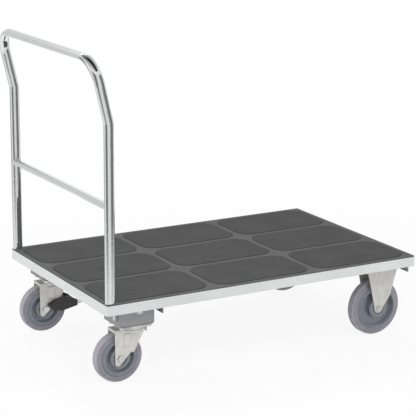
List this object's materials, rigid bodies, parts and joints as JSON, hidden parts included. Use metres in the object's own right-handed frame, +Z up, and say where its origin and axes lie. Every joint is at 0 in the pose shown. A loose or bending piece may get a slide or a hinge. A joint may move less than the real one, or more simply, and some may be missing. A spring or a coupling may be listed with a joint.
{
  "type": "folding platform cart",
  "caption": "Four-wheel steel platform cart with a padded grip mat, a push handle of oval tube that folds down over the deck, two swivel casters, one braked, and two larger fixed ones.",
  "frame": {"origin": "on the floor, under the middle of the cart's bounding box", "axes": "+X from the push handle to the fixed casters, +Y to the braked side, +Z up"},
  "size_m": [0.9339, 0.572, 0.8108],
  "materials": {
    "tray_paint": "satin light grey powder coat",
    "mat_rubber": "smooth matt mid grey",
    "pad_rubber": "finely ribbed matt dark grey",
    "chrome_tube": "bright polished",
    "zinc_steel": "pressed sheet, bright zinc plate",
    "galvanised": "dull grey galvanised sheet",
    "bolt_steel": "zinc plated",
    "grey_tyre": "matt non-marking grey",
    "hub_plastic": "moulded blue-grey",
    "bush_plastic": "natural nylon",
    "black_plastic": "moulded black",
    "shoe_rubber": "matt"
  },
  "bodies": {
    "base": {"deck_tray": "tray_paint", "deck_mat": "mat_rubber", "grip_pads": "pad_rubber", "bed_rail_rear": "tray_paint", "bed_rail_front": "tray_paint", "cross_rail_rear": "galvanised", "cross_rail_front": "galvanised", "caster_channel_near": "galvanised", "caster_channel_far": "galvanised", "hinge_lug_near": "zinc_steel", "hinge_lug_far": "zinc_steel", "flange_bolts": "bolt_steel", "flange_nuts": "bolt_steel", "swivel_bolts": "bolt_steel", "swivel_nuts": "bolt_steel", "fixed_bolts": "bolt_steel", "fixed_nuts": "bolt_steel", "king_bolts": "bolt_steel", "king_nuts": "bolt_steel", "channel_end_bolts": "bolt_steel", "channel_end_nuts": "bolt_steel", "fixed_axle_bolts": "bolt_steel", "fixed_axle_nuts": "bolt_steel", "fixed_axle_sleeves": "bolt_steel", "swivel_near_plate": "zinc_steel", "swivel_near_balls": "bolt_steel", "fixed_near_fork": "zinc_steel", "swivel_far_plate": "zinc_steel", "swivel_far_balls": "bolt_steel", "fixed_far_fork": "zinc_steel"},
    "handle": {"handle_tube": "chrome_tube", "mid_bar": "chrome_tube", "hinge_pins": "chrome_tube"},
    "brake": {"brake_pedal": "black_plastic", "brake_lever": "zinc_steel", "brake_shoe": "shoe_rubber"},
    "swivel_near": {"swivel_near_fork": "zinc_steel", "swivel_near_axle_bolt": "bolt_steel", "swivel_near_axle_nut": "bolt_steel", "swivel_near_axle_sleeve": "bolt_steel"},
    "swivel_near_wheel": {"swivel_near_tyre": "grey_tyre", "swivel_near_hub": "hub_plastic", "swivel_near_bush": "bush_plastic"},
    "fixed_near_wheel": {"fixed_near_tyre": "grey_tyre", "fixed_near_hub": "hub_plastic", "fixed_near_bush": "bush_plastic"},
    "swivel_far": {"swivel_far_fork": "zinc_steel", "swivel_far_axle_bolt": "bolt_steel", "swivel_far_axle_nut": "bolt_steel", "swivel_far_axle_sleeve": "bolt_steel", "brake_rivets": "bolt_steel"},
    "swivel_far_wheel": {"swivel_far_tyre": "grey_tyre", "swivel_far_hub": "hub_plastic", "swivel_far_bush": "bush_plastic"},
    "fixed_far_wheel": {"fixed_far_tyre": "grey_tyre", "fixed_far_hub": "hub_plastic", "fixed_far_bush": "bush_plastic"}
  },
  "joints": [
    {"name": "handle_fold", "type": "hinge", "parent": "base", "child": "handle", "pos_m": [-0.41905, 0, 0.2372], "axis": [0, 1, 0], "range_deg": [0, 90]},
    {"name": "swivel_near_turn", "type": "hinge", "parent": "base", "child": "swivel_near", "pos_m": [-0.33905, -0.221, 0.14], "axis": [0, 0, 1], "continuous": true},
    {"name": "swivel_near_roll", "type": "hinge", "parent": "swivel_near", "child": "swivel_near_wheel", "pos_m": [-0.37505, -0.221, 0.0625], "axis": [0, 1, 0], "continuous": true},
    {"name": "fixed_near_roll", "type": "hinge", "parent": "base", "child": "fixed_near_wheel", "pos_m": [0.38295, -0.221, 0.075], "axis": [0, 1, 0], "continuous": true},
    {"name": "swivel_far_turn", "type": "hinge", "parent": "base", "child": "swivel_far", "pos_m": [-0.33905, 0.221, 0.14], "axis": [0, 0, 1], "continuous": true},
    {"name": "swivel_far_roll", "type": "hinge", "parent": "swivel_far", "child": "swivel_far_wheel", "pos_m": [-0.37505, 0.221, 0.0625], "axis": [0, 1, 0], "continuous": true},
    {"name": "fixed_far_roll", "type": "hinge", "parent": "base", "child": "fixed_far_wheel", "pos_m": [0.38295, 0.221, 0.075], "axis": [0, 1, 0], "continuous": true},
    {"name": "brake_press", "type": "hinge", "parent": "swivel_far", "child": "brake", "pos_m": [-0.35805, 0.221, 0.076], "axis": [0, 1, 0], "range_deg": [0, 12]}
  ]
}
